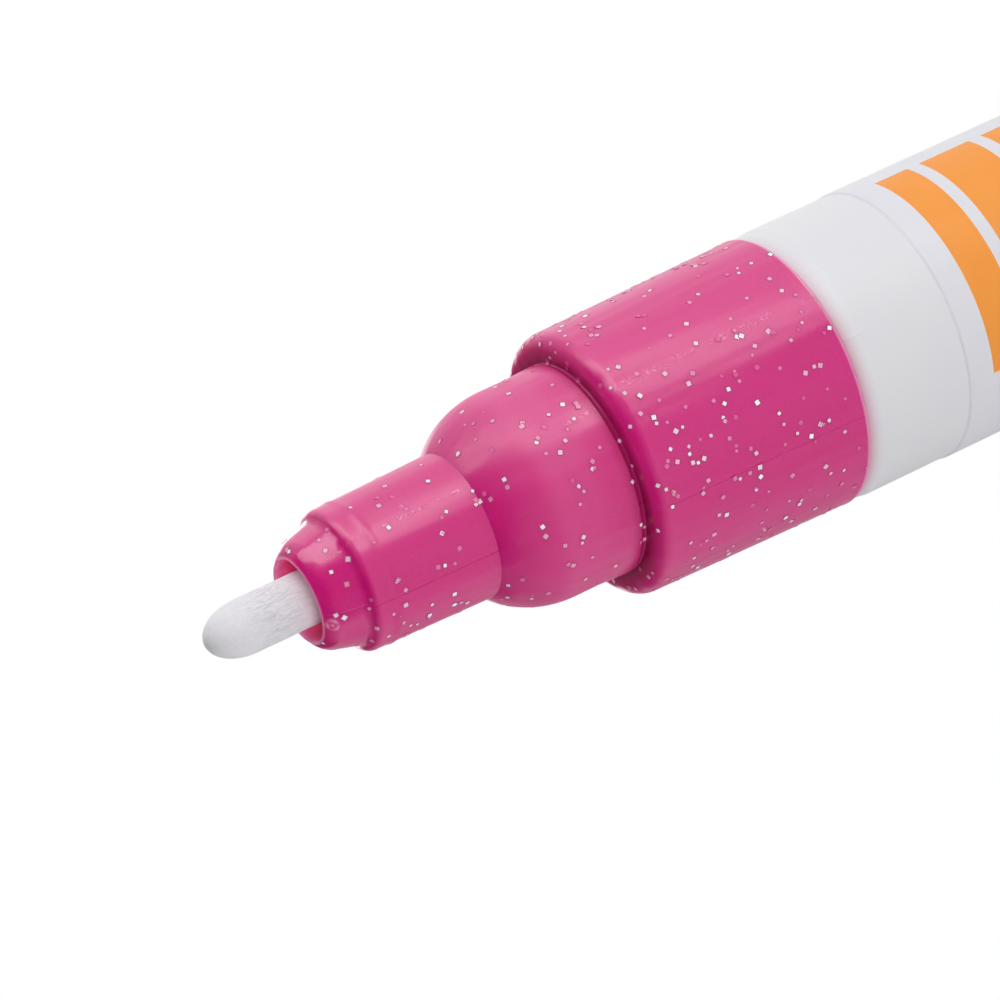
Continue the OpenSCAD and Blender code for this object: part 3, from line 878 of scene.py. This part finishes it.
# Stainless wire, cold drawn: bright metal with a fine mottle in its colour and its gloss
def makeDrawnSteel(s):
    material, tree, shader, place = newMaterial("stainlessWireDrawn")
    mottle = noise(tree, place, s["mottle"], 3.0)
    tone = mixTones(tree, mottle, s["steel"], s["steelShade"])
    rough = remap(tree, mottle, to=s["finish"])
    setInputs(tree, shader, {"Base Color": tone, "Roughness": rough, "Metallic": 1.0})
    return material


# A circle of the wire's radius is carried along the helix: it lies in the plane of the outward direction
# and of the direction square to both that and the wire
def makeSpring(s):
    count = s["turns"] * s["perTurn"] + 1
    share = np.linspace(0, 1, count)
    angle = share * s["turns"] * turn
    pitch = (s["high"] - s["low"]) / s["turns"]
    lean = math.atan2(pitch, turn * s["radius"])
    out = np.stack([np.cos(angle), np.sin(angle), 0 * angle], axis=-1)
    rise = np.stack([np.sin(angle) * math.sin(lean), -np.cos(angle) * math.sin(lean),
                     0 * angle + math.cos(lean)], axis=-1)
    centre = s["radius"] * out
    centre[:, 2] = s["low"] + share * (s["high"] - s["low"])
    around = np.arange(s["sides"]) * turn / s["sides"]
    circle = np.cos(around)[None, :, None] * out[:, None] + np.sin(around)[None, :, None] * rise[:, None]
    points = centre[:, None] + s["wire"] * circle
    number = np.arange(count * s["sides"]).reshape(count, s["sides"])
    beside = np.roll(number, -1, axis=1)
    quads = np.stack([number[:-1], number[1:], beside[1:], beside[:-1]], axis=-1).reshape(-1, 4)
    caps = [number[0].tolist(), number[-1, ::-1].tolist()]
    piece = newPiece("valveSpring", points.reshape(-1, 3), quads.tolist() + caps, makeDrawnSteel(s))
    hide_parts("valve_spring")
    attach(piece, "marker_body")
    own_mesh(piece)


makeSpring(spring)
print("valve spring done")


# inner pieces keep their CAD shape and get their own finishes

inner = dict(
    seat=dict(name="nitrileRubberMoulded", tones=("#3A3A3C", "#2C2C2E"), grain=0.3, rough=0.7, metal=0.0),
    valve=dict(name="acetalMoulded", tones=("#EDECE6", "#E4E3DC"), grain=0.8, rough=0.4, metal=0.0),
    ball=dict(name="stainlessBallPolished", tones=("#CFCFD2", "#C4C4C8"), grain=0.5, rough=0.12,
              metal=1.0),
    roughShares=(0.85, 1.15), grainBump=(0.06, 0.01),
)


# Rubber is matt and dark with a fine grain, acetal is milky with a soft gloss, and the polished ball is
# a clear mirror
def makeInnerFinish(f, i):
    material, tree, shader, place = newMaterial(f["name"])
    grain = noise(tree, place, f["grain"], 3.0)
    colour, shade = f["tones"]
    tone = mixTones(tree, grain, colour, shade)
    rough = remap(tree, grain, to=[share * f["rough"] for share in i["roughShares"]])
    bump = bumped(tree, grain, i["grainBump"])
    setInputs(tree, shader, {"Base Color": tone, "Roughness": rough, "Normal": bump,
                             "Metallic": f["metal"]})
    return material


def finishInnerNodes(i):
    seat, valve, ball = [makeInnerFinish(i[kind], i) for kind in ("seat", "valve", "ball")]
    finishes = dict(valve_seat=seat, valve_casing=valve, valve_stem=valve, mixing_ball=ball)
    for name, material in finishes.items():
        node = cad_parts[name]
        node.data.materials.clear()
        node.data.materials.append(material)


finishInnerNodes(inner)
print("inner pieces finished")


# floor: a pale sheet that runs out to white behind the object

floor = dict(
    half=4.0, drop=0.02, pale="#D6D6D8", paleShade="#D0D0D3", fleck=4, finish=0.8, shine=0.1,
    lift=0.5, fade=(15, 150), towards=(0.95, 0.3, 0), mirrorFade=(60, 130),
    farFade=(330, 560), farShare=0.4,
)


# Coated paper sheet, matt: pale near the object, where it takes the shadow, and white farther off for
# what the camera sees. Mirrors and glass see it white on the key's side and paler far off
def makeFloor(f):
    material, tree, shader, place = newMaterial("paperSheetCoated")
    fleck = noise(tree, place, f["fleck"], 2.0)
    tone = mixTones(tree, fleck, f["pale"], f["paleShade"])
    setInputs(tree, shader, {"Base Color": tone, "Roughness": f["finish"],
                             "Specular IOR Level": f["shine"]})
    keySide = addNode(tree, "VectorMath", {0: place, 1: f["towards"]}, operation="DOT_PRODUCT")
    away = addNode(tree, "VectorMath", {0: place}, operation="LENGTH")
    seenWhite, mirrorWhite = [
        remap(tree, value, span, mm, to=(low, 1.0), eased=True)
        for value, span, low in ((away, f["fade"], f["lift"]), (keySide, f["mirrorFade"], 0.0))
    ]
    far = remap(tree, away, f["farFade"], mm, to=(0.0, f["farShare"]))
    paler = calc(tree, "MAXIMUM", mirrorWhite, far)
    path = addNode(tree, "LightPath", {}).outputs
    mirrored = calc(tree, "MAXIMUM", path["Is Glossy Ray"], path["Is Transmission Ray"])
    inMirror = calc(tree, "MULTIPLY", mirrored, paler)
    white = calc(tree, "MULTIPLY_ADD", path["Is Camera Ray"], seenWhite, inMirror)
    glow = addNode(tree, "Emission", {"Color": (1, 1, 1, 1), "Strength": 1.0})
    mixed = addNode(tree, "MixShader", {0: white, 1: shader, 2: glow})
    output = next(node for node in tree.nodes if node.type == "OUTPUT_MATERIAL")
    setInputs(tree, output, {"Surface": mixed})
    side = f["half"] / mm
    corners = np.array([(-side, -side), (side, -side), (side, side), (-side, side)])
    points = np.concatenate([corners, np.full((4, 1), -f["drop"])], axis=1)
    newPiece("floor", points, [(0, 1, 2, 3)], material, smooth=False)


makeFloor(floor)
print("floor done")


# light: a leaned key softbox and three upright ones that show in the gloss, three broad ones that make
# no highlights, and an even room that is darker in mirrors on two sides

light = dict(
    softboxes=dict(
        key=dict(azimuth=66, distance=120, middle=141, size=(64, 294), radiance=1.8, lean=38,
                 mirrored=True),
        far=dict(azimuth=128, distance=230, middle=212, size=(150, 417), radiance=0.12, mirrored=True),
        fill=dict(azimuth=-107, distance=230, middle=35, size=(250, 64), radiance=0.32, mirrored=True),
        upper=dict(azimuth=75, distance=420, middle=240, size=(600, 440), radiance=0.88, mirrored=False),
        front=dict(azimuth=-45, distance=420, middle=240, size=(600, 440), radiance=1.65, mirrored=False),
        back=dict(azimuth=178, distance=300, middle=60, size=(190, 110), radiance=1.6, mirrored=True),
        rear=dict(azimuth=170, distance=420, middle=240, size=(600, 440), radiance=1.1, mirrored=False),
    ),
    room=dict(
        levels=(0.74, 0.0), topFade=(0.0, 0.8), darkFade=(0.0, 0.06), darkShare=0.9,
        darkSides=(((-0.34, -0.94, 0), (0.3, 0.7)), ((-0.3, 0.95, 0), (0.6, 0.9))),
    ),
)


# Power of a lamp that shows this radiance over its whole face
def lampPower(width, height, radiance):
    return math.pi * width * height * radiance * mm * mm


# A softbox faces the axis, and may lean round the line towards it
def addLamp(name, b):
    data = bpy.data.lights.new(name, "AREA")
    data.shape = "RECTANGLE"
    width, height = b["size"]
    data.size = width * mm
    data.size_y = height * mm
    data.energy = lampPower(width, height, b["radiance"])
    lamp = bpy.data.objects.new(name, data)
    scene.collection.objects.link(lamp)
    angle, lean = math.radians(b["azimuth"]), math.radians(b.get("lean", 0))
    back = Vector((math.sin(angle), -math.cos(angle), 0))
    along = Vector((math.cos(angle), math.sin(angle), 0))
    up = Vector((0, 0, math.cos(lean))) + along * math.sin(lean)
    place = back * b["distance"] + Vector((0, 0, b["middle"]))
    axes = Matrix((up.cross(back), up, back)).transposed()
    lamp.matrix_world = Matrix.Translation(place * mm) @ axes.to_4x4()
    lamp.visible_camera = False
    lamp.visible_glossy = b["mirrored"]


# Even walls that fade to a dark ceiling. Mirrors see them dimmed above the horizon on the dark sides
def makeRoom(r):
    world = bpy.data.worlds.new("room")
    world.use_nodes = True
    scene.world = world
    tree = world.node_tree
    direction = addNode(tree, "TexCoord", {}).outputs["Generated"]
    height = addNode(tree, "SeparateXYZ", {0: direction}).outputs["Z"]
    level = remap(tree, height, r["topFade"], to=r["levels"])
    above = remap(tree, height, r["darkFade"])
    sides = []
    for towards, span in r["darkSides"]:
        facing = addNode(tree, "VectorMath", {0: direction, 1: towards}, operation="DOT_PRODUCT")
        sides.append(remap(tree, facing, span, to=(0.0, r["darkShare"])))
    side = calc(tree, "MAXIMUM", sides[0], sides[1])
    mirrored = addNode(tree, "LightPath", {}).outputs["Is Glossy Ray"]
    where = calc(tree, "MULTIPLY", above, side)
    dark = calc(tree, "MULTIPLY", where, mirrored)
    kept = calc(tree, "SUBTRACT", 1.0, dark)
    shown = calc(tree, "MULTIPLY", level, kept)
    setInputs(tree, tree.nodes["Background"], {"Color": (1, 1, 1, 1), "Strength": shown})


def makeLight(s):
    for name, box in s["softboxes"].items():
        addLamp(name + "Softbox", box)
    makeRoom(s["room"])


makeLight(light)
print("light done")
